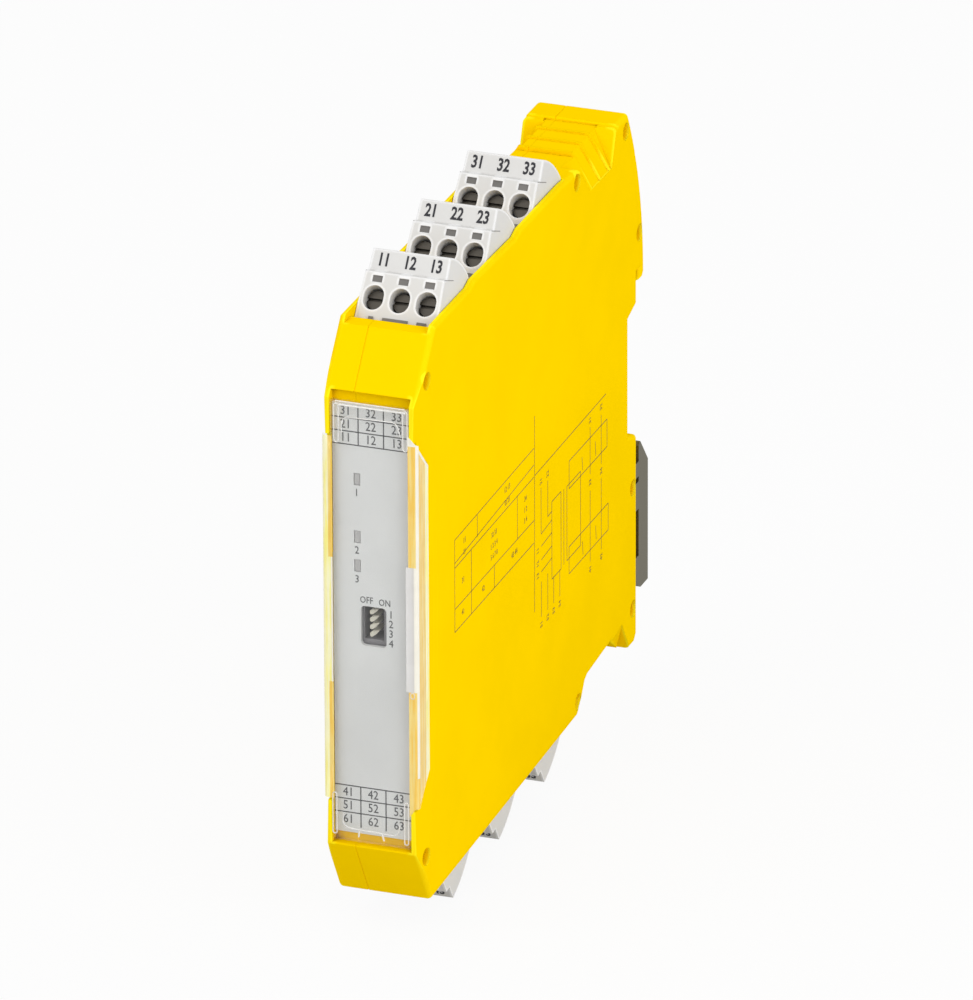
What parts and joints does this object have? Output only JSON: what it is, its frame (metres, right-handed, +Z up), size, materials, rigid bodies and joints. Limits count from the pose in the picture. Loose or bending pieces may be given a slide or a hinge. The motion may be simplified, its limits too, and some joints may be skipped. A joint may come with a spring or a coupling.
{
  "type": "interface relay",
  "caption": "Narrow yellow rail-mounted interface relay with plug-in screw terminals above and below, a hinged clear front cover, setting switches and a sprung metal rail foot.",
  "frame": {"origin": "middle of the rail's front face, at the module's middle plane", "axes": "+X to the right seen from the front, +Y back into the rail, +Z up"},
  "size_m": [0.0176, 0.1213, 0.1209],
  "materials": {
    "yellow_plastic": "satin moulded yellow plastic",
    "plug_grey": "light grey moulded plastic",
    "header_grey": "grey moulded plastic",
    "label_grey": "silver-grey printed plate",
    "clear_plastic": "clear glossy plastic",
    "light_guide": "frosted light guide",
    "lamp": "lamp lens",
    "switch_black": "black plastic",
    "lever_cream": "cream plastic",
    "board_green": "green coated board",
    "relay_case": "sealed relay case",
    "foot_steel": "dull plated sheet steel",
    "spring_steel": "spring wire",
    "screw_steel": "zinc-plated steel",
    "pin_brass": "plated contact pins"
  },
  "bodies": {
    "housing": {"housing_right": "yellow_plastic", "housing_left": "yellow_plastic", "shell_pins": "yellow_plastic", "label_plate": "label_grey", "light_guide_1": "light_guide", "light_guide_2": "light_guide", "light_guide_3": "light_guide", "lamps": "lamp", "switch_body": "switch_black", "main_board": "board_green", "board_relay_1": "relay_case", "board_relay_2": "relay_case", "capacitor": "switch_black", "driver_block": "switch_black", "foot_spring": "spring_steel", "header_pins": "pin_brass", "header_upper_1": "header_grey", "header_upper_2": "header_grey", "header_upper_3": "header_grey", "header_lower_1": "header_grey", "header_lower_2": "header_grey", "header_lower_3": "header_grey"},
    "plug_upper_1": {"plug_upper_1": "plug_grey", "screws_upper_1": "screw_steel", "clamps_upper_1": "screw_steel"},
    "plug_upper_2": {"plug_upper_2": "plug_grey", "screws_upper_2": "screw_steel", "clamps_upper_2": "screw_steel"},
    "plug_upper_3": {"plug_upper_3": "plug_grey", "screws_upper_3": "screw_steel", "clamps_upper_3": "screw_steel"},
    "plug_lower_1": {"plug_lower_1": "plug_grey", "screws_lower_1": "screw_steel", "clamps_lower_1": "screw_steel"},
    "plug_lower_2": {"plug_lower_2": "plug_grey", "screws_lower_2": "screw_steel", "clamps_lower_2": "screw_steel"},
    "plug_lower_3": {"plug_lower_3": "plug_grey", "screws_lower_3": "screw_steel", "clamps_lower_3": "screw_steel"},
    "front_cover": {"front_cover": "clear_plastic"},
    "rail_foot": {"rail_foot": "foot_steel"},
    "switch_lever_1": {"switch_lever_1": "lever_cream"},
    "switch_lever_2": {"switch_lever_2": "lever_cream"},
    "switch_lever_3": {"switch_lever_3": "lever_cream"},
    "switch_lever_4": {"switch_lever_4": "lever_cream"}
  },
  "joints": [
    {"name": "cover_hinge", "type": "hinge", "parent": "housing", "child": "front_cover", "pos_m": [0, -0.11355, -0.0459], "axis": [1, 0, 0], "range_deg": [0, 90]},
    {"name": "foot_release", "type": "slide", "parent": "housing", "child": "rail_foot", "axis": [0, 0, -1], "range_m": [0, 0.004], "stiffness_N_per_m": 2000, "springref_m": -0.002},
    {"name": "unplug_upper_1", "type": "slide", "parent": "housing", "child": "plug_upper_1", "axis": [0, 0, 1], "range_m": [0, 0.02]},
    {"name": "unplug_upper_2", "type": "slide", "parent": "housing", "child": "plug_upper_2", "axis": [0, 0, 1], "range_m": [0, 0.02]},
    {"name": "unplug_upper_3", "type": "slide", "parent": "housing", "child": "plug_upper_3", "axis": [0, 0, 1], "range_m": [0, 0.02]},
    {"name": "unplug_lower_1", "type": "slide", "parent": "housing", "child": "plug_lower_1", "axis": [0, 0, -1], "range_m": [0, 0.02]},
    {"name": "unplug_lower_2", "type": "slide", "parent": "housing", "child": "plug_lower_2", "axis": [0, 0, -1], "range_m": [0, 0.02]},
    {"name": "unplug_lower_3", "type": "slide", "parent": "housing", "child": "plug_lower_3", "axis": [0, 0, -1], "range_m": [0, 0.02]},
    {"name": "set_1", "type": "slide", "parent": "housing", "child": "switch_lever_1", "axis": [1, 0, 0], "range_m": [-0.0011, 0]},
    {"name": "set_2", "type": "slide", "parent": "housing", "child": "switch_lever_2", "axis": [1, 0, 0], "range_m": [-0.0011, 0]},
    {"name": "set_3", "type": "slide", "parent": "housing", "child": "switch_lever_3", "axis": [1, 0, 0], "range_m": [-0.0011, 0]},
    {"name": "set_4", "type": "slide", "parent": "housing", "child": "switch_lever_4", "axis": [1, 0, 0], "range_m": [-0.0011, 0]}
  ]
}
